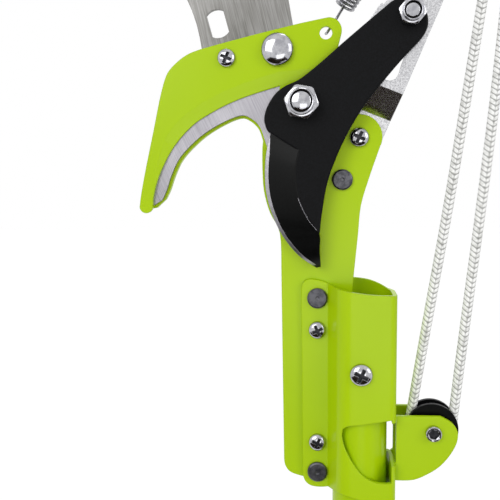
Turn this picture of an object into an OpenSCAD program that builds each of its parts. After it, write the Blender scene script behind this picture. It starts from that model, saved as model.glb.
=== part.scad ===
// Rope-operated tree pruner on a pole: a hook with a bypass blade, a compound slotted lever arm,
// two rope pulleys, a return spring and a curved pull saw. Millimetres, +Z up along the pole.
// The origin is the middle of the grip's flat foot, on the pole's axis; the camera side is -Y.

/* [Pole] */
// Outside diameter of the pole tube
pole_od = 25.4; // [22:0.1:30]
// Wall of the pole tube
pole_wall = 1.2; // [0.8:0.1:2.5]
// Length of the pole tube
pole_len = 880; // [500:10:1600]
// Length of the rubber grip above its closed foot
grip_len = 120; // [80:1:200]
// Wall of the rubber grip
grip_wall = 3.2; // [2:0.1:5]
// Height of the grip's solid foot, which holds the hanging hole
foot_h = 20; // [16:1:30]
// Radius of the hanging hole
hang_r = 4; // [3:0.1:5]
// Thickness of the flattened foot where the hanging hole goes through
foot_t = 18; // [14:1:24]

/* [Head plates] */
// How far the tube goes into the bracket
socket_depth = 68; // [60:1:80]
// Thickness of the body plate
plate_t = 3; // [2:0.1:4]
// Thickness of the hook blade and of the saw
steel_t = 2.2; // [1.5:0.1:3]
// Thickness of the hook cover
cover_t = 2; // [1.2:0.1:3]
// Thickness of the cutting blade
blade_t = 4; // [3:0.1:6]
// Thickness of the lever arm
arm_t = 3; // [2:0.1:4]
// Width of the lever arm
arm_w = 23; // [22:0.5:28]
// Sheet thickness of the pole bracket
wrap_t = 2; // [1:0.1:2.4]
// Room between faces that slide past each other
run_gap = 0.3; // [0.2:0.05:0.5]

/* [Motion] */
// How far the blade turns from open to shut
blade_travel = 57; // [40:1:57]
// Degrees that the arm turns for each degree of the blade
arm_ratio = 1.35; // [1.3:0.01:1.4]

/* [Saw] */
// Length of the saw above the hook cover
saw_len = 330; // [250:5:400]
// Spacing of the saw teeth
tooth_pitch = 6; // [4:0.5:10]
// Depth of the saw teeth
tooth_h = 4; // [2:0.5:5]

/* [Fasteners] */
// Thread diameter of the blade's pivot bolt
pivot_d = 8.5; // [7:0.5:10]
// Thread diameter of the lever bolt that runs in the arm's slot
lever_d = 6.5; // [5:0.5:8]
// Thread diameter of the small screws and of the arm's pivot
screw_d = 4; // [3:0.5:5]
// Thread diameter of the pole screw
pole_screw_d = 5; // [4:0.5:6]
// Thread diameter of the saw's carriage bolt
saw_bolt_d = 6; // [5:0.5:8]
// Shank diameter of the rivets
rivet_d = 5; // [4:0.5:6]
// Diameter of both pulley axles
axle_d = 5; // [4:0.5:6]
// Radial clearance of a moving shaft in its hole
shaft_gap = 0.05; // [0.02:0.01:0.1]

/* [Rope] */
// Diameter of the rope
rope_d = 4.5; // [4:0.1:5]
// Radius of the rope's middle on both pulleys
rope_r = 10; // [9:0.1:11]
// Radius of the pulley flanges
flange_r = 12; // [11.5:0.1:13]
// Width of a pulley over its flanges
pulley_w = 9; // [8:0.1:10]
// Room between the pulley cheeks
cheek_gap = 14; // [12:0.5:16]

/* [Spring] */
// Wire diameter of the return spring
wire_d = 1.3; // [1:0.1:1.6]
// Outside diameter of the return spring
spring_od = 9.4; // [8:0.1:11]
// Number of curls
spring_curls = 20; // [14:1:24]
// Gap between neighbouring curls
curl_gap = 0.45; // [0.42:0.01:0.6]

/* [Hidden] */
$fn = 64;

// Layers of the head, from the pole's mid-plane towards the camera side
plate_front = -plate_t / 2;
steel_front = plate_front - steel_t;
cover_front = steel_front - cover_t;
lever_back = cover_front - run_gap;
lever_front = lever_back - blade_t;
edge_back = steel_front - run_gap;
arm_front = lever_back + run_gap;
arm_rear = plate_t / 2 + run_gap;

// Places on the head, [x, height above the bracket's foot]
head_z = foot_h + pole_len - socket_depth;
pivot = [-26.5, 177];
lever_pin = [20.5, 214];
arm_pivot = [-1, 162];
plate_rivet_at = [-8.5, 143];
saw_bolt_at = [-37.5, 201];
saw_screw_at = [-60.5, 198];
ear_hole = [-16, 207.7];
flange_x = -19.8;
rivet_z = [5, 88.5];
screw_z = [19.5, 73.5];
pole_screw_z = 55.7;
lower_axle = [33, 27.5];
upper_axle = [82, 330];
tie_hole = [66, 322];
spring_hole = [47.4, 298.9];

// Nut sizes for a thread diameter
function nut_flats(d) = 1.6 * d;
function nut_h(d) = 0.85 * d;
hole_gap = 0.2;

function rotated(p, a) = [p[0] * cos(a) - p[1] * sin(a), p[0] * sin(a) + p[1] * cos(a)];
function unit(v) = v / norm(v);
function arc(c, r, a0, a1, n = 12) = [for (i = [0:n])
    let (a = a0 + (a1 - a0) * i / n) c + r * [cos(a), sin(a)]];
// A smooth curve through the given points, with n steps between each pair
function smooth(p, n = 4) = let (m = len(p) - 1) concat([for (i = [0:m - 1], j = [0:n - 1])
    let (t = j / n, a = p[max(i - 1, 0)], b = p[i], c = p[i + 1], d = p[min(i + 2, m)])
    0.5 * (2 * b + (c - a) * t + (2 * a - 5 * b + 4 * c - d) * t * t
        + (3 * b - a - 3 * c + d) * t * t * t)], [p[m]]);

// A flat plate from a front-view outline, filling y0 to y0 + t, at the head
module slab(y0, t) {
    translate([0, y0 + t, head_z]) rotate([90, 0, 0]) linear_extrude(t) children();
}
// A round bar along Y, at a place on the head
module bar(at, y0, y1, d) {
    translate([at[0], y0, head_z + at[1]]) rotate([-90, 0, 0]) cylinder(d = d, h = y1 - y0);
}
// A hexagon along Y with its outer corners turned round, and a bore if one is asked for
module hexagon(at, y0, y1, flats, bore = 0) {
    difference() {
        intersection() {
            translate([at[0], y0, head_z + at[1]]) rotate([-90, 12, 0])
                cylinder(d = flats / cos(30), h = y1 - y0, $fn = 6);
            bar(at, y0, y1, 1.12 * flats);
        }
        if (bore > 0) bar(at, y0 - 1, y1 + 1, bore);
    }
}
// A lock nut whose collar points to -Y (side -1) or +Y (side 1) from its seat
module lock_nut(at, seat, side, d) {
    h = nut_h(d);
    collar = 0.3 * d;
    difference() {
        union() {
            hexagon(at, min(seat, seat + side * h), max(seat, seat + side * h), nut_flats(d));
            bar(at, min(seat, seat + side * (h + collar)), max(seat, seat + side * (h + collar)),
                1.35 * d);
        }
        bar(at, seat - 3 * d, seat + 3 * d, d);
    }
}
// A screw along Y with a domed head in front of its seat, ending at y1
module pan_screw(at, seat, y1, d, head_d, head_h) {
    bar(at, seat, y1, d);
    translate([at[0], seat, head_z + at[1]]) rotate([90, 0, 0]) intersection() {
        cylinder(d = head_d, h = head_h);
        translate([0, 0, head_h - dome_r(head_d, head_h)]) sphere(r = dome_r(head_d, head_h), $fn = 48);
    }
}
function dome_r(head_d, head_h) = (head_d * head_d / 4 + head_h * head_h) / (2 * head_h) * 1.02;
// A flat-headed rivet along Y, from its front seat to its rear seat
module rivet(at, front, rear) {
    head_h = 0.32 * rivet_d;
    bar(at, front, rear, rivet_d);
    bar(at, front - head_h, front, 1.88 * rivet_d);
    bar(at, rear, rear + head_h, 1.6 * rivet_d);
}

// Pole tube, standing in the grip and reaching into the bracket
module pole_tube() {
    color("yellowgreen") difference() {
        translate([0, 0, foot_h]) cylinder(d = pole_od, h = pole_len);
        translate([0, 0, foot_h - 1]) cylinder(d = pole_od - 2 * pole_wall, h = pole_len + 2);
        bar([0, pole_screw_z], -pole_od, pole_od, pole_screw_d + 2 * hole_gap);
    }
}

// Rubber grip with finger ribs, a rounded rim and a flattened foot for the hanging hole
rib_pitch = 10;
rib_r = 1.6;
module hand_grip() {
    outer = pole_od / 2 + grip_wall;
    color("dimgray") difference() {
        union() {
            rotate_extrude() difference() {
                union() {
                    square([outer, foot_h + grip_len - grip_wall]);
                    square([pole_od / 2 + 0.6, foot_h + grip_len]);
                    translate([pole_od / 2, foot_h + grip_len - grip_wall]) circle(r = grip_wall);
                }
                for (z = [foot_h + rib_pitch:rib_pitch:foot_h + grip_len - rib_pitch])
                    translate([outer + 0.6, z]) circle(r = rib_r);
            }
        }
        translate([0, 0, foot_h]) cylinder(d = pole_od, h = grip_len + 1);
        for (s = [-1, 1]) translate([-outer - 1, s == 1 ? foot_t / 2 : -foot_t / 2 - outer, -1])
            cube([2 * outer + 2, outer, foot_h - 1]);
        translate([0, -outer - 1, foot_h / 2]) rotate([-90, 0, 0]) cylinder(r = hang_r, h = 2 * outer + 2);
    }
}

// Pole bracket: one sheet wrapped round the tube and clamped on both sides of the body plate,
// with two D-shaped cheeks folded out of its side windows to carry the lower pulley
fit_gap = 0.1;
wrap_in = pole_od / 2 + fit_gap;
wrap_out = wrap_in + wrap_t;
side_room = 1.1;
front_lean = 28;
fold_r = 1;
brow_r = 6;
// Section of the wrap at radius r: round behind, leaning out of the flanges and flat in front, folded at
// the side
module wrap_plan(r, y_flange) {
    grow = r - wrap_in;
    side = r + side_room;
    lean_x = -(r - y_flange * sin(front_lean)) / cos(front_lean);
    brow = brow_r + grow;
    brow_x = -r * (1 - sin(front_lean)) / cos(front_lean) + brow * tan(45 - front_lean / 2);
    fold = fold_r + grow;
    circle(r = r);
    translate([side_room, 0]) circle(r = r);
    square([side_room, r]);
    polygon(concat([[0, 0], [lean_x, -y_flange]], arc([brow_x, brow - r], brow, 180 + front_lean, 270, 8),
        arc([side - fold, fold - r], fold, -90, 0, 6), [[side, 0]]));
    translate([-40, -y_flange]) square([40, 2 * y_flange]);
}
corner_top = [[-27.3, 92.5], [-26.4, 95.6], [-23.5, 97.3], [-18, 96.6]];
front_top = concat(smooth(concat(corner_top, [[-13.5, 94.9], [-8, 93.6], [4, 91.9], [13.4, 91.6]])),
    [[22, 91.4]]);
rear_top = concat(smooth(concat(corner_top, [[-11, 96.5], [-3, 96], [4, 95.1], [9, 93.6], [13.4, 91.6]])),
    [[22, 91.4]]);
bracket_foot = smooth([[22, -8], [12, -6.6], [3.4, -4.6], [-4.9, -2], [-11, -1.6], [-17, -2.6],
    [-22.4, -2.3], [-25.4, -0.3], [-26.8, 3]]);
cheek_x = 16.3;
neck_z = [13, 33.2];
cheek_edge = concat([[14.4, 34.8]], smooth([[36.2, 35.1], [41.2, 32.3], [43.8, 28.4], [43.6, 23.4],
    [40.9, 17.6], [36.3, 11.8], [30.8, 7.8], [24.4, 4.8], [17.7, 4.3]], 3),
    [[14.4, 4.3], [14.4, neck_z[0] - 1.6], [cheek_x, neck_z[0]], [cheek_x, neck_z[1]],
    [14.4, neck_z[1] + 0.4]]);
window_edge = concat([[wrap_in + side_room, 5.2]], smooth([[11.5, 4.8], [6, 5.4], [0.6, 8.6], [-3.6, 14.1],
    [-7.2, 21], [-8.5, 26.2]]), smooth([[-8.1, 29.7], [-5.6, 31.5], [0.4, 32.3], [9, 33.8],
    [wrap_in + side_room, 34.8]]));
module pole_bracket() {
    color("yellowgreen") difference() {
        union() {
            difference() {
                intersection() {
                    translate([0, 0, head_z - 20]) linear_extrude(140) difference() {
                        wrap_plan(wrap_out, plate_t / 2 + wrap_t);
                        wrap_plan(wrap_in, plate_t / 2);
                    }
                    union() {
                        slab(-wrap_out - 1, wrap_out + 1) polygon(concat(front_top, bracket_foot));
                        slab(-0.01, wrap_out + 1) polygon(concat(rear_top, bracket_foot));
                    }
                }
                for (s = [-1, 1]) slab(s == 1 ? cheek_gap / 2 : -cheek_gap / 2 - 12, 12)
                    polygon(window_edge);
                translate([wrap_in + side_room - 1, -wrap_out, head_z + neck_z[0]])
                    cube([10, 2 * wrap_out, neck_z[1] - neck_z[0]]);
            }
            for (s = [-1, 1]) slab(s == 1 ? cheek_gap / 2 : -cheek_gap / 2 - wrap_t, wrap_t)
                polygon(cheek_edge);
        }
        for (z = rivet_z) bar([flange_x, z], -20, 20, rivet_d);
        for (z = screw_z) bar([flange_x, z], -20, 20, screw_d + 2 * hole_gap);
        bar([0, pole_screw_z], -30, 30, pole_screw_d + 2 * hole_gap);
        bar(lower_axle, -20, 20, axle_d + 2 * hole_gap);
    }
}

// Body plate: one green plate from the hook's tip to the bracket, behind every other head plate
hook_inner = [[-92, 134.3], [-89.8, 138.9], [-87.3, 145.9], [-82.9, 154.2], [-73.8, 163], [-64.3, 168.9],
    [-55, 172.5], [-50.3, 171.4], [-46, 167.5], [-43.9, 162]];
hook_lip = 1.2;
plate_inner = [for (p = smooth(hook_inner)) p + hook_lip * unit([-63, 140] - p)];
hook_outer = [[-102.4, 131.2], [-101.3, 138.1], [-98.6, 150.6], [-94.8, 166.6], [-91.7, 180.2],
    [-89.1, 189.1], [-86.7, 193.5], [-82, 197.8], [-77.3, 200.6], [-71.8, 202.4]];
plate_inset = 1;
tube_side = -wrap_in;
module body_plate() {
    left = smooth([[-45, 158], [-45.1, 150], [-44.5, 138.5], [-41.8, 128.3], [-37.2, 118.5],
        [-36.6, 101.2]]);
    foot = concat(smooth([[-35.8, 10], [-35.3, 6.8], [-33.2, 3.7], [-29.4, 2.1], [-24, 0.9]], 3),
        [[tube_side, 0.4], [tube_side, socket_depth + 2]]);
    right = smooth([[-3.8, 90], [-3, 100.4], [-1.3, 117.6], [0, 131.3], [4, 145], [8.6, 158.4]]);
    top = [[-13, 184], [-22, 203], [-33, 208], [-60, 202.4]];
    outer = [for (i = [len(hook_outer) - 1:-1:0])
        hook_outer[i] + plate_inset * unit([-60, 165] - hook_outer[i])];
    color("olivedrab") difference() {
        slab(plate_front, plate_t) polygon(concat(plate_inner, left, foot, right,
            arc(arm_pivot, 10.4, -20, 110), top, smooth(outer, 3), [[-98.5, 130], [-95.2, 130.6]]));
        bar(pivot, -9, 9, pivot_d + 2 * shaft_gap);
        bar(arm_pivot, -9, 9, screw_d + 2 * hole_gap);
        bar(plate_rivet_at, -9, 9, rivet_d);
        bar(saw_bolt_at, -9, 9, saw_bolt_d + 2 * hole_gap);
        bar(saw_screw_at, -9, 9, screw_d + 2 * hole_gap);
        for (z = rivet_z) bar([flange_x, z], -9, 9, rivet_d);
        for (z = screw_z) bar([flange_x, z], -9, 9, screw_d + 2 * hole_gap);
    }
}

// Hook blade: bright ground steel under the cover, keyed against the saw's straight lower edge
seam = [[-80, 187], [-14, 192]];
seam_gap = 0.4;
module hook_blade() {
    outer = [for (i = [0:5]) hook_outer[5 - i] + 2.4 * unit([-60, 165] - hook_outer[5 - i])];
    color("gainsboro") difference() {
        slab(steel_front, steel_t) polygon(concat(smooth(hook_inner), [[-42.6, 158]],
            arc(pivot, 15, 215, 360), [seam[1] - [0, seam_gap], seam[0] - [0, seam_gap]], smooth(outer, 3),
            [[-96.5, 131.6]]));
        bar(pivot, -9, 9, pivot_d + 2 * shaft_gap);
    }
}

// Hook cover: pressed green sheet with a bevelled inner rim, an ear for the spring and a boss at the pivot
cover_lower = [[-96.2, 130.6], [-95.6, 136.7], [-92.8, 145.9], [-87.8, 155.8], [-83, 162.3],
    [-78.2, 167.2], [-73.4, 170.9], [-64.1, 176], [-54.9, 179.9], [-45.7, 182.8], [-36.6, 185.3]];
cover_top = [[-71.8, 202.4], [-63.5, 204.4], [-45.3, 208.5], [-27.5, 212.2], [-18.5, 213.8]];
rim_w = 6;
rim_drop = 1.2;
rim_depth = min(rim_drop, cover_t - 0.5);
module cover_rim() {
    m = len(cover_lower) - 1;
    line = concat([for (i = [1:m - 1]) 0.5 * (cover_lower[i] + cover_lower[i + 1])],
        [[-34.5, 185.9], [-25, 188.1], [-15, 190.4]]);
    n = len(line) - 1;
    inward = [for (i = [0:n]) let (d = unit(line[min(i + 1, n)] - line[max(i - 1, 0)])) [-d[1], d[0]]];
    grow = [for (i = [0:n]) min(1, (i + 0.8) / 3, (n - i + 0.8) / 2.6)];
    stations = [for (i = [0:n]) let (a = line[i] - 2 * inward[i],
        b = line[i] + grow[i] * rim_w * inward[i]) [[a[0], -rim_depth * grow[i] * 1.33, a[1]],
        [b[0], 0, b[1]], [b[0], 2, b[1]], [a[0], 2, a[1]]]];
    translate([0, cover_front, head_z]) mirror([0, 1, 0]) loft(stations);
}
// A closed skin over rows of points, each row going once round the section
module loft(rows) {
    n = len(rows);
    k = len(rows[0]);
    points = [for (r = rows, p = r) p];
    sides = [for (i = [0:n - 2], j = [0:k - 1]) let (a = i * k + j, b = i * k + (j + 1) % k)
        each [[a, b, b + k], [a, b + k, a + k]]];
    ends = [for (j = [1:k - 2]) each [[0, j + 1, j], [(n - 1) * k, (n - 1) * k + j, (n - 1) * k + j + 1]]];
    polyhedron(points, concat(sides, ends), convexity = 8);
}
module hook_cover() {
    tip = arc([-99.3, 131.4], 3.1, 184, 335);
    ear = concat(arc([-14.8, 208.6], 5.8, 90, -15), [[-10.3, 202.8], [-13.5, 190]]);
    color("yellowgreen") difference() {
        slab(cover_front, cover_t) polygon(concat(tip, smooth(cover_lower), arc(pivot, 12, 190, 360),
            [for (i = [len(ear) - 1:-1:0]) ear[i]], [for (i = [len(cover_top) - 1:-1:0]) cover_top[i]],
            smooth([for (i = [len(hook_outer) - 1:-1:0]) hook_outer[i]], 3)));
        cover_rim();
        bar(pivot, -9, 9, pivot_d + 2 * shaft_gap);
        bar(ear_hole, -9, 9, 5.6);
        bar(saw_bolt_at, -9, 9, saw_bolt_d + 2 * hole_gap);
        bar(saw_screw_at, -9, 9, screw_d + 2 * hole_gap);
    }
}

// Pull saw: curved blade with hooked heel, teeth on the concave side and a double-D hole
saw_back0 = [-29.6, 206];
saw_lean = 0.17;
saw_bend = 0.00028;
saw_root_w = 46.5;
saw_tip_w = 15;
heel_z = 240;
function saw_back(s) = [saw_back0[0] - saw_lean * s - saw_bend * s * s, saw_back0[1] + s];
function saw_front(s) = saw_back(s) - [saw_root_w + (saw_tip_w - saw_root_w) * s / saw_len, 0];
module saw_blade() {
    teeth_from = heel_z + 10 - saw_back0[1];
    count = floor((saw_len - 12 - teeth_from) / tooth_pitch);
    teeth = [for (i = [0:count - 1]) let (s = teeth_from + i * tooth_pitch)
        each [saw_front(s), saw_front(s + 0.35 * tooth_pitch) - [tooth_h, 0.3 * tooth_pitch]]];
    heel = [[-72.1, 202.8], [-72.9, 207.7], [-74.2, 213.5], [-76.4, 220.1], [-79.5, 227], [-84, 234],
        [-90, heel_z], [-82, heel_z + 3]];
    hole_at = [-64.6, 213.6];
    color("silver") difference() {
        slab(steel_front, steel_t) polygon(concat([[-70.5, 195], [-70, seam[0][1] + 0.8],
            [-32, seam[1][1] - 1.4]], [for (s = [0:saw_len / 16:saw_len + 1]) saw_back(s)],
            [saw_front(saw_len) + [0.35 * saw_tip_w, -2], saw_front(saw_len - 8)],
            [for (i = [len(teeth) - 1:-1:0]) teeth[i]], [for (i = [len(heel) - 1:-1:0]) heel[i]]));
        translate([hole_at[0], 0, head_z + hole_at[1]]) rotate([0, -15, 0]) translate([0, 0, -head_z])
            intersection() {
            bar([0, 0], -9, 9, 12.6);
            translate([-4, -9, head_z - 10]) cube([8, 18, 20]);
        }
        bar(saw_bolt_at, -9, 9, saw_bolt_d + 2 * hole_gap);
        bar(saw_screw_at, -9, 9, screw_d + 2 * hole_gap);
    }
}

// Fasteners of the saw, through the cover, the saw and the body plate
module saw_bolt() {
    color("silver") pan_screw(saw_bolt_at, cover_front, plate_t / 2 + 9, saw_bolt_d, 14.6, 4);
}
module saw_bolt_nut() {
    color("silver") lock_nut(saw_bolt_at, plate_t / 2, 1, saw_bolt_d);
}
module saw_screw() {
    color("silver") pan_screw(saw_screw_at, cover_front, plate_t / 2 + 6, screw_d, 2.05 * screw_d,
        0.65 * screw_d);
}
module saw_screw_nut() {
    color("silver") lock_nut(saw_screw_at, plate_t / 2, 1, screw_d);
}

// Rivets and screws that hold the bracket, the body plate and the tube together
flange_front = -plate_t / 2 - wrap_t;
module bracket_rivets() {
    color("dimgray") for (z = rivet_z) rivet([flange_x, z], flange_front, -flange_front);
}
module plate_rivet() {
    color("dimgray") rivet(plate_rivet_at, plate_front, plate_t / 2);
}
module bracket_screws() {
    color("silver") for (z = screw_z)
        pan_screw([flange_x, z], flange_front, -flange_front + 6, screw_d, 2.05 * screw_d, 0.65 * screw_d);
}
module bracket_screw_nuts() {
    color("silver") for (z = screw_z) lock_nut([flange_x, z], -flange_front, 1, screw_d);
}
module pole_screw() {
    color("silver") pan_screw([0, pole_screw_z], -wrap_out, wrap_out + 7, pole_screw_d,
        2.05 * pole_screw_d, 0.6 * pole_screw_d);
}
module pole_screw_nut() {
    color("silver") lock_nut([0, pole_screw_z], wrap_out, 1, pole_screw_d);
}

// Arm pivot: a screw through the body plate and the arm, with a lock nut behind
module arm_screw() {
    color("silver") pan_screw(arm_pivot, plate_front, arm_rear + arm_t + run_gap + 6, screw_d,
        2.2 * screw_d, 0.65 * screw_d);
}
module arm_screw_nut() {
    color("silver") lock_nut(arm_pivot, arm_rear + arm_t + run_gap, 1, screw_d);
}

// Blade pivot: hexagon bolt from behind and lock nut in front
module pivot_bolt() {
    color("silver") {
        hexagon(pivot, plate_t / 2, plate_t / 2 + 0.62 * pivot_d, nut_flats(pivot_d));
        bar(pivot, lever_front - run_gap - 1.25 * pivot_d, plate_t / 2 + 1, pivot_d);
    }
}
module pivot_nut() {
    color("silver") lock_nut(pivot, lever_front - run_gap, -1, pivot_d);
}

// Cutting blade: black lever, pivot lobe and ground blade; its bevel falls from the shoulder to the edge,
// and the ground part is set back to meet the hook blade
shoulder = [[-28.4, 156.4], [-29.7, 149.8], [-29.3, 140.9], [-27.5, 132.8], [-23.8, 124.8], [-19.6, 118.3],
    [-18.7, 111], [-18.4, 104.5]];
cut_edge = [[-41.4, 163.8], [-42.5, 153.8], [-43.3, 143.6], [-42.3, 135], [-39.6, 126.2], [-35.3, 118],
    [-28.3, 109.2], [-20.8, 102.9]];
edge_land = 0.5;
tip_from = 15;
lever_top = [[-41.8, 164.2], [-42.8, 166.6], [-43.5, 170.4], [-42.1, 175.6], [-38.5, 181.2], [-34, 184.6],
    [-27.4, 187.6], [-18.6, 194.6], [-5.6, 205.8], [3, 212.2], [8.9, 217]];
lever_low = [[20.3, 198.6], [11.9, 189.3], [3.3, 178.7], [-5.4, 165.8], [-11.5, 152.7], [-15.5, 140.7],
    [-17.7, 127.3], [-18.7, 117]];
lever_end_r = 14.5;
module cutting_blade() {
    s = smooth(shoulder, 3);
    e = smooth(cut_edge, 3);
    n = len(s) - 1;
    inside = [for (i = [0:n]) 3 * unit(s[i] - e[i])];
    cut = [for (i = [0:n]) let (y = lever_front + max(0, i - tip_from) * 0.25, in = s[i] + inside[i],
        out = e[i] - inside[i], k = 3 / norm(s[i] - e[i]), f = edge_back - edge_land - y)
        [[out[0], y - 12, out[1]], [in[0], y - 12, in[1]], [in[0], y - f * k, in[1]],
        [out[0], y + f * (1 + k), out[1]]]];
    color([0.1, 0.1, 0.11]) difference() {
        union() {
            slab(lever_front, blade_t) polygon(concat([for (i = [tip_from:-1:0])
                s[i] - (i < 2 ? 1 : 0.3) * (s[i] - e[i])], smooth(lever_top),
                arc(lever_pin + [-6.8, -3.8], lever_end_r, 118, -30), smooth(lever_low)));
            slab(lever_front, edge_back - lever_front) polygon(concat([s[0] + 0.84 * (e[0] - s[0]),
                0.4 * e[0] + 0.6 * e[1]], [for (i = [1:n]) e[i]],
                [for (i = [n:-1:0]) s[i] + (i < tip_from ? inside[i] : [0, 0])]));
        }
        translate([0, 0, head_z]) loft(cut);
        bar(pivot, -40, 20, pivot_d + 2 * shaft_gap);
        bar(lever_pin, -40, 20, lever_d);
    }
}

// Lever bolt: shank through the lever and the arm's slot, flat round head behind the arm
module lever_bolt() {
    rear = arm_front + arm_t + run_gap;
    color("silver") {
        bar(lever_pin, lever_front - 1.3 * lever_d, rear + 1, lever_d);
        bar(lever_pin, rear, rear + 3, 1.5 * lever_d);
    }
}
module lever_nut() {
    color("silver") lock_nut(lever_pin, lever_front, -1, lever_d);
}

// Lever arm: plated bar that turns behind the body plate, steps forward past its top and holds a
// curved slot for the lever bolt, the spring hole, the rope's tie hole and the upper pulley
slot_gap = 0.4;
arm_angle = atan2(lever_pin[1] - arm_pivot[1], lever_pin[0] - arm_pivot[0]);
step_from = 12;
step_to = 24;
function pin_at(a) = rotated(pivot + rotated(lever_pin - pivot, -a) - arm_pivot,
    arm_ratio * a) + arm_pivot;
slot_line = [for (i = [-1:24]) pin_at(blade_travel * i / 24)];
slot_end = [[10.1, 186.8], [12.4, 186.3], [14.6, 187.3], [16, 189.6], [16.8, 192.6], [18, 195.8]];
module arm_slot() {
    n = len(slot_line) - 1;
    r = lever_d / 2 + slot_gap;
    side = [for (i = [0:n]) let (d = unit(slot_line[min(i + 1, n)] - slot_line[max(i - 1, 0)]))
        r * [-d[1], d[0]]];
    polygon(concat([for (i = [0:n]) slot_line[i] + side[i]], [for (i = [n:-1:0]) slot_line[i] - side[i]]));
    translate(slot_line[0]) circle(r = r);
    translate(slot_line[n]) circle(r = r);
    polygon(concat(smooth(slot_end), [slot_line[12], slot_line[n]]));
}
arm_nose_r = 10;
arm_end_r = 10.2;
module arm_outline() {
    u = [cos(arm_angle), sin(arm_angle)];
    v = [-u[1], u[0]];
    function on(a, b) = arm_pivot + a * u + b * v;
    top = norm(tie_hole - arm_pivot);
    difference() {
        polygon(concat(arc(arm_pivot, arm_end_r, arm_angle - 90, arm_angle - 270, 24),
            smooth([on(22, arm_w / 2), on(32, 15), on(43, 16.5), on(56, 14), on(68, arm_w / 2),
            on(0.98 * top, arm_w / 2)]), arc(tie_hole, arm_w / 2, arm_angle + 80, arm_angle + 20),
            arc(upper_axle, arm_nose_r, 95, -55), [on(0.8 * top, -arm_w / 2)]));
        arm_slot();
        translate(spring_hole) circle(d = 4);
        translate(tie_hole) circle(d = rope_d + 0.8);
        translate(upper_axle) circle(d = axle_d + 2 * hole_gap);
        translate(arm_pivot) circle(d = screw_d + 2 * shaft_gap);
    }
}
module lever_arm() {
    side = [[-20, arm_rear], [step_from, arm_rear], [step_to, arm_front], [260, arm_front],
        [260, arm_front + arm_t], [step_to + 1, arm_front + arm_t], [step_from + 1, arm_rear + arm_t],
        [-20, arm_rear + arm_t]];
    color("silver") intersection() {
        slab(-20, 40) arm_outline();
        translate([arm_pivot[0], 0, head_z + arm_pivot[1]]) rotate([0, -arm_angle, 0])
            translate([0, 0, -60]) linear_extrude(120) polygon(side);
    }
}

// Pulleys: black wheels with a round rope groove, turning on their axle screws between plain hubs
module pulley(at, y) {
    hub = cheek_gap / 2 - run_gap;
    difference() {
        translate([at[0], y, head_z + at[1]]) rotate([-90, 0, 0]) rotate_extrude() difference() {
            union() {
                translate([0, -pulley_w / 2]) square([flange_r, pulley_w]);
                translate([0, -hub]) square([axle_d / 2 + 2.4, 2 * hub]);
            }
            translate([rope_r, 0]) circle(d = rope_d + 0.6);
            translate([rope_r, -rope_d / 2 - 0.3]) square([flange_r, rope_d + 0.6]);
        }
        bar(at, -40, 40, axle_d + 2 * shaft_gap);
    }
}
upper_y = arm_front + arm_t + cheek_gap / 2;
module lower_pulley() {
    color([0.08, 0.08, 0.08]) pulley(lower_axle, 0);
}
module arm_pulley() {
    color([0.08, 0.08, 0.08]) pulley(upper_axle, upper_y);
}
cheek_out = cheek_gap / 2 + wrap_t;
module pulley_screw() {
    color("silver") difference() {
        union() {
            bar(lower_axle, -cheek_out, cheek_out + 7, axle_d);
            bar(lower_axle, -cheek_out - 0.5 * axle_d, -cheek_out, 1.45 * axle_d);
        }
        hexagon(lower_axle, -cheek_out - axle_d, -cheek_out - 0.15 * axle_d, 0.7 * axle_d);
    }
}
module pulley_nut() {
    color("silver") lock_nut(lower_axle, cheek_out, 1, axle_d);
}
module arm_axle() {
    color("silver") {
        bar(upper_axle, arm_front, upper_y + cheek_gap / 2 + 7, axle_d);
        hexagon(upper_axle, arm_front - 0.65 * axle_d, arm_front, nut_flats(axle_d));
    }
}
module arm_axle_nut() {
    color("silver") lock_nut(upper_axle, upper_y + cheek_gap / 2, 1, axle_d);
}

// A tube of k sides along points, each ring square to the line; flat ends
function along(p, i) = unit(p[min(i + 1, len(p) - 1)] - p[max(i - 1, 0)]);
module tube(p, d, k) {
    rows = [for (i = [0:len(p) - 1]) let (t = along(p, i),
        a = unit(cross(t, abs(t[1]) > 0.9 ? [1, 0, 0] : [0, 1, 0])),
        b = cross(t, a))
        [for (j = [k - 1:-1:0]) p[i] + d / 2 * (cos(360 * j / k) * a + sin(360 * j / k) * b)]];
    loft(rows);
}

// Return spring: open-wound curls between two leads that hook into the ear and into the arm from behind
spring_y = steel_front + 1.7;
spring_lead = 14;
module return_spring() {
    r = (spring_od - wire_d) / 2;
    a = [ear_hole[0], spring_y, ear_hole[1]];
    b = [spring_hole[0], spring_y, spring_hole[1]];
    u = unit(b - a);
    w = cross(u, [0, 1, 0]);
    pitch = wire_d + curl_gap;
    coil = pitch * spring_curls;
    start = spring_lead;
    rest = norm(b - a) - start - coil;
    curls = [for (i = [0:8 * spring_curls])
        a + u * (start + pitch * i / 8) + r * (sin(45 * i) * w - [0, cos(45 * i), 0])];
    lead_a = [a + [0, -1.8, 0], a + [0, -0.4, 0] + 0.3 * u, a + 1.8 * u, a + 0.6 * start * u,
        a + (start - 1.4) * u - [0, 0.6 * r, 0]];
    lead_b = [b - (rest - 1.4) * u - [0, 0.6 * r, 0], b - 0.7 * rest * u, b - 1.8 * u,
        b + [0, -0.4, 0] - 0.3 * u, b + [0, -1.8, 0]];
    apart = min([for (i = [0:4:8 * (spring_curls - 2)], j = [6:10])
        norm(curls[i] - curls[i + j])]) - wire_d;
    echo(spring_gap_to_itself = apart);
    color("silver") translate([0, 0, head_z]) tube(concat(lead_a, curls, lead_b), wire_d, 6);
}

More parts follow.
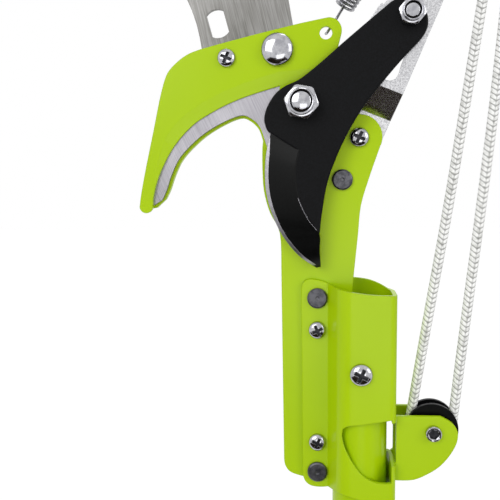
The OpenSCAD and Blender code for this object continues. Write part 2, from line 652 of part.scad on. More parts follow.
// Rope: tied at the arm, down round the lower pulley, up over the arm's pulley and down to the pull handle
rope_side = 10;
rope_join = 0.3;
fall_x = upper_axle[0] + rope_r;
handle_z = -360;
rope_left_line = [[24, 0, 34.3], [30.3, 0.5, 78], [37.4, 1, 127], [44.5, 1.5, 176], [51.6, 2, 225],
    [58.7, 2.5, 274], [63, 3, 304], [65, 2.6, 312], [65.8, 1, 319], [66, -1.6, 322], [66, -4.2, 322.2]];
rope_right_line = [[43.4, 0, 34.3], [47.7, 0.7, 78], [52.4, 1.4, 128], [57.2, 2.1, 179], [62, 2.9, 230],
    [66.8, 3.6, 280], [71.4, upper_y, 327.2]];
module rope(points) {
    color("whitesmoke") translate([0, 0, head_z]) tube(points, rope_d, rope_side);
}
module rope_left() {
    rope(rope_left_line);
}
module rope_right() {
    rope(rope_right_line);
}
// The two turns end in short straight pieces that meet the strands end to end
module rope_loop() {
    n = 10;
    first = rope_left_line[0] + rope_join * unit(rope_left_line[0] - rope_left_line[1]);
    last = rope_right_line[0] + rope_join * unit(rope_right_line[0] - rope_right_line[1]);
    turn = [for (i = [0:n]) let (a = 172 + 194 * i / n)
        [lower_axle[0] + rope_r * cos(a), 0, lower_axle[1] + rope_r * sin(a)]];
    rope(concat([first, 0.5 * (first + turn[0])], turn, [0.5 * (last + turn[n]), last]));
}
module rope_crown() {
    n = 10;
    end = len(rope_right_line) - 1;
    first = rope_right_line[end] + rope_join * unit(rope_right_line[end] - rope_right_line[end - 1]);
    turn = [for (i = [0:n]) let (a = 174 - 174 * i / n)
        [upper_axle[0] + rope_r * cos(a), upper_y, upper_axle[1] + rope_r * sin(a)]];
    rope(concat([first, 0.5 * (first + turn[0])], turn, [turn[n] - [0, 0, 1.5], turn[n] - [0, 0, 4]]));
}
module rope_fall() {
    n = 30;
    top = upper_axle[1] - 4 - rope_join;
    rope([for (i = [0:n]) [fall_x, upper_y, top + (handle_z - top) * i / n]]);
}
module rope_knot() {
    color("whitesmoke") translate([tie_hole[0], arm_front - 2.9, head_z + tie_hole[1]])
        sphere(d = 7.6, $fn = 32);
}

// Pull handle: turned black bar on the rope's end, with the stopper knot under it
handle_len = 110;
handle_r = 9;
module pull_handle() {
    color("dimgray") difference() {
        translate([fall_x - handle_len / 2, upper_y, head_z + handle_z]) rotate([0, 90, 0])
            rotate_extrude() polygon(concat([[0, 0]], arc([handle_r - 3, 3], 3, -90, 0, 6),
                smooth([[handle_r, 3.5], [handle_r - 1.6, 30], [handle_r - 0.2, handle_len / 2],
                    [handle_r - 1.6, handle_len - 30], [handle_r, handle_len - 3.5]]),
                arc([handle_r - 3, handle_len - 3], 3, 0, 90, 6), [[0, handle_len]]));
        translate([fall_x, upper_y, head_z + handle_z - 20]) cylinder(d = rope_d + 0.6, h = 40);
    }
}
module handle_knot() {
    color("whitesmoke") translate([fall_x, upper_y, head_z + handle_z - handle_r - 3.6])
        sphere(d = 8.4, $fn = 32);
}

pole_tube();
hand_grip();
pole_bracket();
body_plate();
hook_blade();
hook_cover();
saw_blade();
saw_bolt();
saw_bolt_nut();
saw_screw();
saw_screw_nut();
bracket_rivets();
plate_rivet();
bracket_screws();
bracket_screw_nuts();
pole_screw();
pole_screw_nut();
arm_screw();
arm_screw_nut();
pivot_bolt();
pivot_nut();
cutting_blade();
lever_bolt();
lever_nut();
lever_arm();
arm_pulley();
arm_axle();
arm_axle_nut();
lower_pulley();
pulley_screw();
pulley_nut();
return_spring();
rope_knot();
rope_left();
rope_loop();
rope_right();
rope_crown();
rope_fall();
pull_handle();
handle_knot();
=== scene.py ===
import math

import bmesh
import bpy
from mathutils import Matrix, Quaternion, Vector


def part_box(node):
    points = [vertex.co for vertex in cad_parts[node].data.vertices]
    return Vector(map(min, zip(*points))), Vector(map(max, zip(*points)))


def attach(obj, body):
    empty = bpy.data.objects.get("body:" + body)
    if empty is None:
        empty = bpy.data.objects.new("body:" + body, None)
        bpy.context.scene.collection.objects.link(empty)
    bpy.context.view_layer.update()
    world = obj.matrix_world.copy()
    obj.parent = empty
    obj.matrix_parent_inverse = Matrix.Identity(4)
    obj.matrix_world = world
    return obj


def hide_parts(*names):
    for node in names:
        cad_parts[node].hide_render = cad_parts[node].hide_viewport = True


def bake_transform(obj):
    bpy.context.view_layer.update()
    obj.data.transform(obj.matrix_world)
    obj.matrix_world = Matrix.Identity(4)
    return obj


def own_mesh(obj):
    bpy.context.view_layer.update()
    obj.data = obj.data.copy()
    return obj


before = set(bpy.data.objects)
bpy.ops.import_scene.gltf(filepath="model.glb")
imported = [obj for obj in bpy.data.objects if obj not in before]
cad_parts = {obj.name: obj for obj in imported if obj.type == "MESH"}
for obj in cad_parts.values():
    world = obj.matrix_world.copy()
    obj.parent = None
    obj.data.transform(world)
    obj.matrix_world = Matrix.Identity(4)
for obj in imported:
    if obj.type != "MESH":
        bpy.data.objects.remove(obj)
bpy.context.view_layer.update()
scene = bpy.context.scene
scene.view_settings.view_transform = "Standard"

# Camera: a close view of the pruner's head from its blade side, a little above the pulley and to its right.
# head() takes a place in millimetres from where the pole enters the bracket, and gives it in the scene.
mm = 0.001
pole_in_bracket = 68 * mm
head_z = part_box("pole_tube")[1].z - pole_in_bracket


def head(x, y, z):
    return Vector((x * mm, y * mm, head_z + z * mm))


camera_data = bpy.data.cameras.new("camera")
camera_data.lens = 51.16
camera_data.sensor_width = 36
camera = bpy.data.objects.new("camera", camera_data)
scene.collection.objects.link(camera)
camera.location = head(-14.8, -330, 146.2)
aim = (head(-51.4, 0, 110.5) - camera.location).to_track_quat("-Z", "Y")
roll = Quaternion((0, 0, 1), math.radians(-0.6))
camera.rotation_mode = "QUATERNION"
camera.rotation_quaternion = aim @ roll
scene.camera = camera

# Studio: a white world and a pale floor at the pole's foot, lit by four large soft lamps. Camera and mirror
# rays see plain white, so that the plated pieces have something bright to reflect.


def linear(code):
    parts = [int(code[i:i + 2], 16) / 255 for i in (1, 3, 5)]
    return [c / 12.92 if c <= 0.04045 else ((c + 0.055) / 1.055) ** 2.4 for c in parts] + [1]


def add(tree, kind, settings=None, **links):
    # A setting is a property of the node, a socket by its name or number, or the two stops of a colour ramp.
    # A link is a socket by its name, or by its number after an i.
    node = tree.nodes.new("ShaderNode" + kind)
    for name, value in (settings or {}).items():
        if name == "stops":
            for stop, (position, colour) in zip(node.color_ramp.elements, value):
                stop.color = linear(colour)
                stop.position = position
        elif hasattr(node, name):
            setattr(node, name, value)
        else:
            node.inputs[int(name) if name.isdigit() else name].default_value = value
    for name, source in links.items():
        place = int(name[1:]) if name[1:].isdigit() else name.replace("_", " ")
        tree.links.new(source, node.inputs[place])
    return node


def seen_rays(tree):
    # 1 for a ray from the camera or by way of a mirror or a glass, 0 for light on its way to the object.
    rays = add(tree, "LightPath")
    mirror = add(tree, "Math", {"operation": "MAXIMUM"}, i0=rays.outputs["Is Glossy Ray"],
                 i1=rays.outputs["Is Transmission Ray"])
    return add(tree, "Math", {"operation": "MAXIMUM"}, i0=rays.outputs["Is Camera Ray"], i1=mirror.outputs[0])


def board(name, size, centre):
    bm = bmesh.new()
    bmesh.ops.create_grid(bm, x_segments=1, y_segments=1, size=size, matrix=Matrix.Translation(centre))
    mesh = bpy.data.meshes.new(name)
    bm.to_mesh(mesh)
    bm.free()
    piece = bpy.data.objects.new(name, mesh)
    scene.collection.objects.link(piece)
    paint = bpy.data.materials.new("studio_" + name)
    paint.use_nodes = True
    paint.node_tree.nodes.clear()
    mesh.materials.append(paint)
    return piece


world = bpy.data.worlds.new("studio")
scene.world = world
world.use_nodes = True
tree = world.node_tree
tree.nodes.clear()
seen = seen_rays(tree)
fill = add(tree, "Background", {"Color": linear("#FFFFFF"), "Strength": 0.55})
white = add(tree, "Background", {"Color": linear("#FFFFFF"), "Strength": 1.0})
mix = add(tree, "MixShader", None, i0=seen.outputs[0], i1=fill.outputs[0], i2=white.outputs[0])
add(tree, "OutputWorld", None, Surface=mix.outputs[0])

# The floor glows for three quarters to those rays, and the last quarter keeps the object's shadow.
floor = board("floor", 12, (0, 0, 0))
tree = floor.active_material.node_tree
seen = seen_rays(tree)
glowing = add(tree, "Math", {"operation": "MULTIPLY", "1": 0.75}, i0=seen.outputs[0])
matt = add(tree, "BsdfDiffuse", {"Color": linear("#E9E9E9")})
glow = add(tree, "Emission", {"Color": linear("#FFFFFF"), "Strength": 1.2})
mix = add(tree, "MixShader", None, i0=glowing.outputs[0], i1=matt.outputs[0], i2=glow.outputs[0])
add(tree, "OutputMaterial", None, Surface=mix.outputs[0])

# A matt black card lies low in front of the object, out of the picture. Only mirror rays meet it, and it
# gives the plated pieces the dark lower half that they have in a studio.
card = board("black_card", 0.65, (-0.1, -0.8, 0.55))
tree = card.active_material.node_tree
soot = add(tree, "BsdfDiffuse", {"Color": linear("#2A211B")})
add(tree, "OutputMaterial", None, Surface=soot.outputs[0])
card.visible_camera = False
card.visible_diffuse = False
card.visible_shadow = False

for name, place, size, power in (
    ("key_lamp", (-0.75, -1.25, 1.55), 0.9, 8.5),
    ("side_lamp", (1.15, -0.8, 1.35), 0.7, 4.5),
    ("top_lamp", (0.1, 0.5, 2.4), 0.9, 8),
    ("low_lamp", (0.1, -1.1, 0.66), 0.5, 1.5),
):
    lamp_data = bpy.data.lights.new(name, "AREA")
    lamp_data.size = size
    lamp_data.energy = power
    lamp = bpy.data.objects.new(name, lamp_data)
    lamp.location = place
    lamp.rotation_mode = "QUATERNION"
    lamp.rotation_quaternion = (head(-30, 0, 120) - Vector(place)).to_track_quat("-Z", "Y")
    scene.collection.objects.link(lamp)

# Pole, bracket, body plate and hook cover: a drawn tube and three stamped and folded steel sheets, all in one
# lime green powder coat, sprayed and baked. It is smooth and glossy with a faint orange peel, drifts a little
# in tone, and rounds over every sheet edge.


def new_material(name, settings):
    material = bpy.data.materials.new(name)
    material.use_nodes = True
    tree = material.node_tree
    tree.nodes.clear()
    shader = add(tree, "BsdfPrincipled", settings)
    add(tree, "OutputMaterial", None, Surface=shader.outputs[0])
    return material, tree, shader


def dress(material, *names):
    for name in names:
        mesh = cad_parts[name].data
        mesh.materials.clear()
        mesh.materials.append(material)


drift_size = 71.4 * mm
peel_size = 1.25 * mm
green_coat, tree, shader = new_material("lime_powder_coat", {"Roughness": 0.26, "Specular IOR Level": 0.2})
place = add(tree, "TexCoord")
drift = add(tree, "TexNoise", {"Scale": 1 / drift_size, "Detail": 2.0}, Vector=place.outputs["Object"])
tone = add(tree, "ValToRGB", {"stops": ((0.3, "#A7C800"), (0.6, "#ABCC06"))}, Fac=drift.outputs[0])
tree.links.new(tone.outputs[0], shader.inputs["Base Color"])
edge = add(tree, "Bevel", {"samples": 6, "Radius": 0.7 * mm})
peel = add(tree, "TexNoise", {"Scale": 1 / peel_size, "Detail": 1.0}, Vector=place.outputs["Object"])
relief = add(tree, "Bump", {"Strength": 0.06, "Distance": 0.1 * mm}, Height=peel.outputs[0],
             Normal=edge.outputs[0])
tree.links.new(relief.outputs[0], shader.inputs["Normal"])
dress(green_coat, "pole_tube", "pole_bracket", "body_plate", "hook_cover")

# Hand grip: a ribbed sleeve of black rubber, moulded with a closed foot and pushed over the tube's lower end.
# It is dull, with a leathery skin from the mould.


def moulded(name, colour, pale, rough, grain, depth):
    # Black plastic or rubber: near black with faint flow marks, a small gloss and softened edges.
    material, tree, shader = new_material(name, {"Roughness": rough, "Specular IOR Level": 0.08})
    place = add(tree, "TexCoord")
    flow = add(tree, "TexNoise", {"Scale": 1 / grain, "Detail": 2.0}, Vector=place.outputs["Object"])
    tone = add(tree, "ValToRGB", {"stops": ((0, colour), (1, pale))}, Fac=flow.outputs[0])
    tree.links.new(tone.outputs[0], shader.inputs["Base Color"])
    edge = add(tree, "Bevel", {"samples": 4, "Radius": 0.4 * mm})
    relief = add(tree, "Bump", {"Strength": depth, "Distance": 0.1 * mm}, Height=flow.outputs[0],
                 Normal=edge.outputs[0])
    tree.links.new(relief.outputs[0], shader.inputs["Normal"])
    return material


dress(moulded("grip_rubber", "#171718", "#242425", rough=0.72, grain=1.1111 * mm, depth=0.35), "hand_grip")

# Hook blade and saw: spring steel, ground on a wheel that leaves fine parallel scratches across the blade.
# Both are fixed to the head bare, with no coat.


def ground_steel(name, colour, dark, turn, rough):
    # A soft grey mirror, brighter along the scratches. The real ones are some 0.05 mm apart, and these are
    # drawn at about 0.4 mm so that they show.
    scratch_run = 16.667 * mm
    scratch_gap = 0.41667 * mm
    cloud_size = 22.222 * mm
    material, tree, shader = new_material(name, {"Metallic": 1.0, "Roughness": rough})
    place = add(tree, "TexCoord")
    grain_map = add(tree, "Mapping", {"vector_type": "TEXTURE", "Rotation": (0, math.radians(turn), 0),
                                      "Scale": (scratch_run, scratch_run, scratch_gap)},
                    Vector=place.outputs["Object"])
    grain = add(tree, "TexNoise", {"Scale": 1.0, "Detail": 3.0}, Vector=grain_map.outputs[0])
    cloud = add(tree, "TexNoise", {"Scale": 1 / cloud_size, "Detail": 3.0}, Vector=place.outputs["Object"])
    blend = add(tree, "Mix", {"data_type": "FLOAT", "0": 0.4}, i2=grain.outputs[0], i3=cloud.outputs[0])
    tone = add(tree, "ValToRGB", {"stops": ((0.32, dark), (0.62, colour))}, Fac=blend.outputs[0])
    tree.links.new(tone.outputs[0], shader.inputs["Base Color"])
    edge = add(tree, "Bevel", {"samples": 4, "Radius": 0.25 * mm})
    relief = add(tree, "Bump", {"Strength": 0.12, "Distance": 0.05 * mm}, Height=grain.outputs[0],
                 Normal=edge.outputs[0])
    tree.links.new(relief.outputs[0], shader.inputs["Normal"])
    return material


dress(ground_steel("ground_hook_steel", "#A9A7AC", "#86848A", turn=65, rough=0.34), "hook_blade")
dress(ground_steel("brushed_saw_steel", "#8B8A88", "#64635F", turn=76, rough=0.42), "saw_blade")

# Lever arm: a slotted steel bar, stamped and joggled, zinc plated in a barrel with others of its kind.
# It pivots on the body plate and pushes the blade's lever round.


def zinc_plate(name, colour, dark, size, rough):
    # A pale cloudy mirror with a fine spangle, duller where the spangle is pale, and with tumbled edges.
    material, tree, shader = new_material(name, {"Metallic": 1.0})
    place = add(tree, "TexCoord")
    spangle = add(tree, "TexNoise", {"Scale": 1 / size, "Detail": 4.0, "Roughness": 0.6},
                  Vector=place.outputs["Object"])
    tone = add(tree, "ValToRGB", {"stops": ((0.36, dark), (0.6, colour))}, Fac=spangle.outputs[0])
    tree.links.new(tone.outputs[0], shader.inputs["Base Color"])
    gloss = add(tree, "MapRange", {"To Min": 0.7 * rough, "To Max": 1.3 * rough}, Value=spangle.outputs[0])
    tree.links.new(gloss.outputs[0], shader.inputs["Roughness"])
    edge = add(tree, "Bevel", {"samples": 4, "Radius": 0.3 * mm})
    relief = add(tree, "Bump", {"Strength": 0.025, "Distance": 0.1 * mm}, Height=spangle.outputs[0],
                 Normal=edge.outputs[0])
    tree.links.new(relief.outputs[0], shader.inputs["Normal"])
    return material


dress(zinc_plate("barrel_zinc_plate", "#DADADC", "#AEAEB1", size=0.7 * mm, rough=0.26), "lever_arm")

# Pulleys and pull handle: moulded black nylon, slightly glossy, with faint flow marks from the mould.
# Each pulley turns on its own axle, and the handle is threaded on the rope.
nylon = moulded("moulded_black_nylon", "#050506", "#0C0C0E", rough=0.36, grain=3.3333 * mm, depth=0.05)
dress(nylon, "lower_pulley", "arm_pulley", "pull_handle")

# Screws: plated steel with a pan head and a cross recess, cold-headed and thread-rolled. They hold the saw,
# the bracket and the pole, and carry the arm; the saw's big carriage bolt has a plain dome.
bright_zinc = zinc_plate("bright_screw_zinc", "#BFBFC3", "#A2A2A8", size=2.5 * mm, rough=0.12)
# Recesses and sockets are coloured near black: painted shade, standing for the shadow inside them.
painted_recess_shade = zinc_plate("painted_recess_shade_steel", "#46464A", "#303033", size=2.0 * mm, rough=0.5)
saw_bolt_at = (-37.5, 201)
saw_screw_at = (-60.5, 198)
bracket_screws_at = [(-19.8, 19.5), (-19.8, 73.5)]
pole_screw_at = (0, 55.7)
arm_screw_at = (-1, 162)
ring_points = 48
turned = 0.475
sharp = math.radians(32)


def ring(at, y, radius=0, flats=0, way=0):
    # A circle about a bolt's axis, or a hexagon this wide over its flats. With way 1 or -1 its corners, past
    # the turned share of that width, fall back at 30 degrees.
    hexagon_turn = math.radians(11)
    corner_slope = 0.577
    row = []
    for i in range(ring_points):
        a = 2 * math.pi * i / ring_points
        r = radius
        fall = 0
        if flats:
            r = flats / 2 / math.cos((a + hexagon_turn) % (math.pi / 3) - math.pi / 6)
            fall = way * corner_slope * max(0, r - turned * flats)
        row.append(head(at[0] + r * math.cos(a), y + fall, at[1] + r * math.sin(a)))
    return row


def skin(bm, rows, ends="capped"):
    # Faces from row to row, in bands that it gives back in order, the caps first and last. The ends are
    # capped, open, or joined to each other. bridge_loops would twist between rows that lie in one plane.
    rounds = [[bm.verts.new(place) for place in row] for row in rows]
    following = rounds[1:] + rounds[:1] if ends == "joined" else rounds[1:]
    bands = []
    for low, high in zip(rounds, following):
        corners = zip(low, low[1:] + low[:1], high[1:] + high[:1], high)
        bands.append([bm.faces.new(four) for four in corners])
    if ends == "capped":
        bands = [[bm.faces.new(rounds[0])]] + bands + [[bm.faces.new(rounds[-1])]]
    return bands


def thread(at, start, end, d):
    # A rolled thread, drawn as plain grooves over its last turns, with a broken edge at its end.
    turns = 7
    pitch = 0.7
    groove = 0.32
    broken_edge = 0.4
    end_r = 0.41 * d
    way = 1 if end > start else -1
    rows = [ring(at, start, d / 2), ring(at, end - way * (pitch * turns + broken_edge), d / 2)]
    for k in range(turns):
        y = end - way * (pitch * (turns - k) + broken_edge)
        rows += [ring(at, y + way * pitch / 2, d / 2 - groove), ring(at, y + way * pitch, d / 2)]
    return rows + [ring(at, end, end_r)]


def made(name, bm, *materials):
    bmesh.ops.recalc_face_normals(bm, faces=bm.faces)
    mesh = bpy.data.meshes.new(name)
    bm.to_mesh(mesh)
    bm.free()
    mesh.shade_smooth()
    mesh.set_sharp_from_angle(angle=sharp)
    for material in materials:
        mesh.materials.append(material)
    piece = bpy.data.objects.new(name, mesh)
    scene.collection.objects.link(piece)
    return piece


def fix(piece, body, slot, *replaced):
    if replaced:
        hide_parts(*replaced)
    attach(piece, body)


def carve(piece, cutter):
    modifier = piece.modifiers.new("recess", "BOOLEAN")
    modifier.operation = "DIFFERENCE"
    modifier.solver = "MANIFOLD"
    modifier.material_mode = "TRANSFER"
    modifier.object = cutter
    mesh = bpy.data.meshes.new_from_object(piece.evaluated_get(bpy.context.evaluated_depsgraph_get()))
    piece.modifiers.clear()
    piece.data = mesh
    mesh.set_sharp_from_angle(angle=sharp)
    bpy.data.objects.remove(cutter)


def screw(name, node, places, seat, end, d, head_d, head_h, recess=True):
    rim = 0.3 * head_h
    fullness = 0.8
    bm = bmesh.new()
    for at in places:
        dome = [ring(at, seat, head_d / 2)]
        for degrees in range(0, 90, 10):
            a = math.radians(degrees)
            rise = rim + (head_h - rim) * math.sin(a)
            dome.append(ring(at, seat - rise, head_d / 2 * math.cos(a) ** fullness))
        skin(bm, dome[::-1] + thread(at, seat, end, d))
    piece = made(name, bm, bright_zinc)
    fix(piece, "frame", "plated_steel", node)
    if not recess:
        return
    # The cross is cut by one bar after the other, centred on the dome's top. Two screws made together are
    # left turned differently, as a driver stops them.
    bar_long = 0.64 * head_d * mm
    bar_wide = 0.17 * head_d * mm
    bar_deep = 1.3 * head_h * mm
    stopped = 25
    apart = 40
    for quarter in (0, 90):
        bar = bmesh.new()
        for n, at in enumerate(places):
            size = Matrix.Diagonal((bar_long, bar_deep, bar_wide, 1))
            turn = Matrix.Rotation(math.radians(stopped + quarter + apart * n), 4, "Y")
            place = Matrix.Translation(head(at[0], seat - head_h, at[1]))
            bmesh.ops.create_cube(bar, size=1, matrix=place @ turn @ size)
        # The cut faces take the cutter's near-black steel: painted shade in the cross.
        carve(piece, made("recess", bar, painted_recess_shade))


screw("saw_carriage_bolt", "saw_bolt", [saw_bolt_at], seat=-5.7, end=10.5, d=6, head_d=14.6, head_h=4,
      recess=False)
screw("saw_pan_screw", "saw_screw", [saw_screw_at], seat=-5.7, end=7.5, d=4, head_d=8.2, head_h=2.6)
screw("bracket_pan_screws", "bracket_screws", bracket_screws_at, seat=-3.5, end=9.5, d=4, head_d=8.2,
      head_h=2.6)
screw("pole_pan_screw", "pole_screw", [pole_screw_at], seat=-14.8, end=21.8, d=5, head_d=10.25, head_h=3)
screw("arm_pivot_screw", "arm_screw", [arm_screw_at], seat=-1.5, end=11.1, d=4, head_d=8.8, head_h=2.6)

# Rivets: dull steel, set cold with flat heads that the punch leaves with a broken edge and a small mark in
# the middle. Two clamp the bracket on the body plate, and one sits above them on its own.
rivet_steel = zinc_plate("dull_rivet_steel", "#636368", "#434347", size=2.0 * mm, rough=0.38)


def rivet(name, node, places, sheet_face):
    # Heights over the sheet's face and radii, from the mark to the shank, and from the shank to the tail.
    punched = ((1.35, 0.7), (1.6, 1), (1.6, 4), (1.1, 4.7), (0, 4.7), (0, 2.5))
    tail = ((0, 2.5), (0, 4), (1.2, 4), (1.6, 3.5))
    bm = bmesh.new()
    for at in places:
        skin(bm, [ring(at, -sheet_face - height, radius) for height, radius in punched]
             + [ring(at, sheet_face + height, radius) for height, radius in tail])
    fix(made(name, bm, rivet_steel), "frame", "dark_steel", node)


rivet("bracket_flat_rivets", "bracket_rivets", [(-19.8, 5), (-19.8, 88.5)], sheet_face=3.5)
rivet("plate_flat_rivet", "plate_rivet", [(-8.5, 143)], sheet_face=1.5)

# Cutting blade: forged steel, one piece of lever, pivot lobe and ground blade, dipped in black coating. The
# lever is fine-grained with rounded edges, and the bevel below the lobe was ground smooth before the dip.
pivot_at = (-26.5, 177)
pivot_d = 8.5
pivot_play = 0.1
lever_pin_at = (20.5, 214)
lever_pin_d = 6.5
lever_front = -10
lever_back = -6
edge_front = -4.5
edge_back = -4


def blade_black(name, colour, pale, rough, gloss, grain, depth):
    # A black dip: matt and finely gritty on the forging, closer to satin where the steel under it was ground.
    material, tree, shader = new_material(name, {"Roughness": rough, "Specular IOR Level": gloss})
    place = add(tree, "TexCoord")
    grit = add(tree, "TexNoise", {"Scale": 1 / grain, "Detail": 2.0}, Vector=place.outputs["Object"])
    tone = add(tree, "ValToRGB", {"stops": ((0.35, colour), (0.7, pale))}, Fac=grit.outputs[0])
    tree.links.new(tone.outputs[0], shader.inputs["Base Color"])
    relief = add(tree, "Bump", {"Strength": depth, "Distance": 0.08 * mm}, Height=grit.outputs[0])
    tree.links.new(relief.outputs[0], shader.inputs["Normal"])
    return material


def through(points, steps):
    # A smooth line through all the points, with so many steps from each to the next.
    line = []
    last = len(points) - 1
    for i in range(last):
        a, b, c, d = points[max(i - 1, 0)], points[i], points[i + 1], points[min(i + 2, last)]
        for j in range(steps):
            t = j / steps
            line.append(0.5 * (2 * b + (c - a) * t + (2 * a - 5 * b + 4 * c - d) * t * t
                               + (3 * b - a - 3 * c + d) * t * t * t))
    return line + [points[last]]


def flat(points):
    return [Vector((x, 0, z)) for x, z in points]


# The shoulder and the cutting edge run side by side, point for point. The lever's outline follows the
# shoulder down to the point where the lever ends.
steps = 8
meeting = 5 * steps + 1
shoulder = flat(((-27.4, 158.6),)) + through(flat((
    (-28.2, 156.1), (-29.7, 149.6), (-29.5, 141.8), (-27.9, 134), (-23.8, 125.4), (-18.9, 118.6),
    (-18.7, 111), (-18.3, 103.8))), steps)
cut_edge = flat(((-40.6, 165.6),)) + through(flat((
    (-41.4, 162.4), (-43.1, 154.2), (-43.6, 144.3), (-42.8, 136), (-40.3, 127.2), (-35.8, 117.8),
    (-28.6, 108.8), (-20.2, 102.8))), steps)
lever_line = through(flat((
    (-41.4, 164.4), (-42.6, 166.4), (-43.4, 170.4), (-42.1, 175.6), (-38.5, 181.2), (-34, 184.6),
    (-27.4, 187.6), (-18.5, 194.3), (-8.8, 202.5), (0, 209.7), (9.2, 217.1), (12.7, 219.7), (18.3, 222.2),
    (23.8, 219.3), (27, 214.6), (27.8, 209.9), (26.8, 206.1), (24.1, 202.4), (17.2, 195.2), (9.5, 186.3),
    (1.7, 176.5), (-5.1, 165.8), (-11.4, 152.7), (-15.5, 140.7), (-17.7, 127.8), (-18.6, 119.8))), steps)
outline = shoulder[meeting:0:-1] + lever_line

# The lever's edge is rounded by rows that are set in from its outline, less and less towards its thin tip.
tip = shoulder[meeting]
tip_fade = 8
inward = []
for i, here in enumerate(outline):
    along = (outline[(i + 1) % len(outline)] - outline[i - 1]).normalized()
    inward.append(min(1, (here - tip).length / tip_fade) * Vector((along.z, 0, -along.x)))
lever_rows = []
for y, inset in ((lever_back, 0.4), (lever_back - 0.4, 0), (lever_front + 0.8, 0), (lever_front + 0.25, 0.2),
                 (lever_front, 0.8)):
    depth = Vector((0, y, 0))
    lever_rows.append([head(*(here + inset * side + depth)) for here, side in zip(outline, inward)])
bm = bmesh.new()
skin(bm, lever_rows, "open")
for at, bore in ((pivot_at, pivot_d + pivot_play), (lever_pin_at, lever_pin_d)):
    skin(bm, [ring(at, lever_back, bore / 2), ring(at, lever_front, bore / 2)], "open")
for y in (lever_back, lever_front):
    rims = [edge for edge in bm.edges if edge.is_boundary and abs(edge.verts[0].co.y - y * mm) < 0.01 * mm]
    bmesh.ops.triangle_fill(bm, use_beauty=True, edges=rims)
lever = made("forged_lever", bm, blade_black("black_dip_coating", "#030304", "#0C0D10", rough=0.5, gloss=0.11,
                                             grain=0.6 * mm, depth=0.25))
fix(lever, "blade", "black_blade", "cutting_blade")
for face in lever.data.polygons:
    face.use_smooth = abs(face.normal.y) < 0.999

# The bevel falls from the shoulder to the cutting edge. Its root is tucked under the lever, less and less
# towards the lever's tip, and past that tip its top falls too.
tuck = 3
tuck_step = 0.3
least_tuck = 0.02
below_lever = 0.05
tip_fall = 0.1
root_drop = 0.3
bevel_rows = []
stations = []
for i, (s, e) in enumerate(zip(shoulder, cut_edge)):
    across = s - e
    way = across.normalized()
    root = s + (least_tuck + min(tuck, tuck_step * max(0, meeting - i))) * way
    top = lever_front + below_lever + tip_fall * max(0, i - meeting)
    bevel_rows.append([head(root.x, top + root_drop, root.z), head(s.x, top, s.z), head(e.x, edge_front, e.z),
                       head(e.x, edge_back, e.z), head(root.x, edge_back, root.z)])
    stations.append((e, way, across.length, (edge_front - top) / across.length))
bm = bmesh.new()
skin(bm, bevel_rows)
bevel = made("ground_blade_bevel", bm, blade_black("ground_black_bevel", "#020202", "#060707", rough=0.3,
                                                   gloss=0.13, grain=1.2 * mm, depth=0.06))
bevel.data.set_sharp_from_angle(angle=math.radians(14))
fix(bevel, "blade", "black_blade")

# Honed edge of the cutting blade: the last 1.6 mm of the bevel, ground bright through the black coating, and
# a painted highlight, a thin bright line along the shoulder's edge. Thin skins on the bevel that go with
# the blade.
honed_width = 1.6
honed_over = 0.06
shoulder_highlight_near = 0.24
shoulder_highlight_far = 0.02
shoulder_highlight_from = 3 * steps


def strip(station, near, far):
    # The four corners of a thin skin on the bevel, at these distances from the cutting edge.
    e, way, _, slope = station
    lift = 0.05
    row = []
    for out, rise in ((near, lift), (near, -lift), (far, -lift), (far, lift)):
        place = e + out * way
        row.append(head(place.x, edge_front - slope * out + rise, place.z))
    return row


bare_rows = []
shoulder_highlight_rows = []
for i, station in enumerate(stations):
    length = station[2]
    # The strip starts narrow at the lobe and stays under two fifths of the bevel at the tip.
    bare_rows.append(strip(station, -honed_over, min(honed_width, 0.4 * length, 0.2 * i)))
    # The second skin is the painted highlight: bright steel along the shoulder, where light catches the edge.
    shoulder_highlight_rows.append(strip(station, length - shoulder_highlight_near, length - shoulder_highlight_far))
bm = bmesh.new()
skin(bm, bare_rows[1:-2])
skin(bm, shoulder_highlight_rows[shoulder_highlight_from:meeting - 1])
honed = made("honed_edge", bm, ground_steel("honed_edge_steel", "#ABA9AF", "#8F8D93", turn=20, rough=0.34))
fix(honed, "blade", "ground_steel")

# Pulley screw: a plated cap screw, turned with a round head and broached with a hexagon socket. It is the
# lower pulley's axle, through both cheeks of the bracket.
lower_axle = (33, 27.5)
cheek = -9
cap = ((-11.5, 2.6), (-11.5, 3.2), (-11.2, 3.55), (-10.9, 3.62), (cheek, 3.62))
socket = 4.2
rows = [ring(lower_axle, -9.75, flats=socket), ring(lower_axle, -11.2, flats=socket)]
rows += [ring(lower_axle, y, radius) for y, radius in cap]
bm = bmesh.new()
bands = skin(bm, rows + thread(lower_axle, cheek, 15.7, 5))
# The socket's floor and walls are coloured near black: painted shade inside the socket.
for face in bands[0] + bands[1]:
    face.material_index = 1
fix(made("pulley_cap_screw", bm, bright_zinc, painted_recess_shade), "frame", "plated_steel", "pulley_screw")

# Bolts of the blade, the lever and the arm's pulley: plated steel, headed at one end and threaded for a lock
# nut at the other. The blade's bolt has its hexagon behind the plate, so that the nut shows in front.
upper_axle = (82, 330)


def bolt(name, node, body, at, seat, way, head_h, end, d, head_d=0, flats=0):
    top = seat + way * head_h
    shoulder_y = top - way * 0.4
    crown = [ring(at, top, 0.46 * head_d), ring(at, shoulder_y, head_d / 2), ring(at, seat, head_d / 2)]
    if flats:
        crown = [ring(at, top, turned * flats), ring(at, top, 0, flats, -way), ring(at, seat, 0, flats)]
    bm = bmesh.new()
    skin(bm, crown + thread(at, seat, end, d))
    fix(made(name, bm, bright_zinc), body, "plated_steel", node)


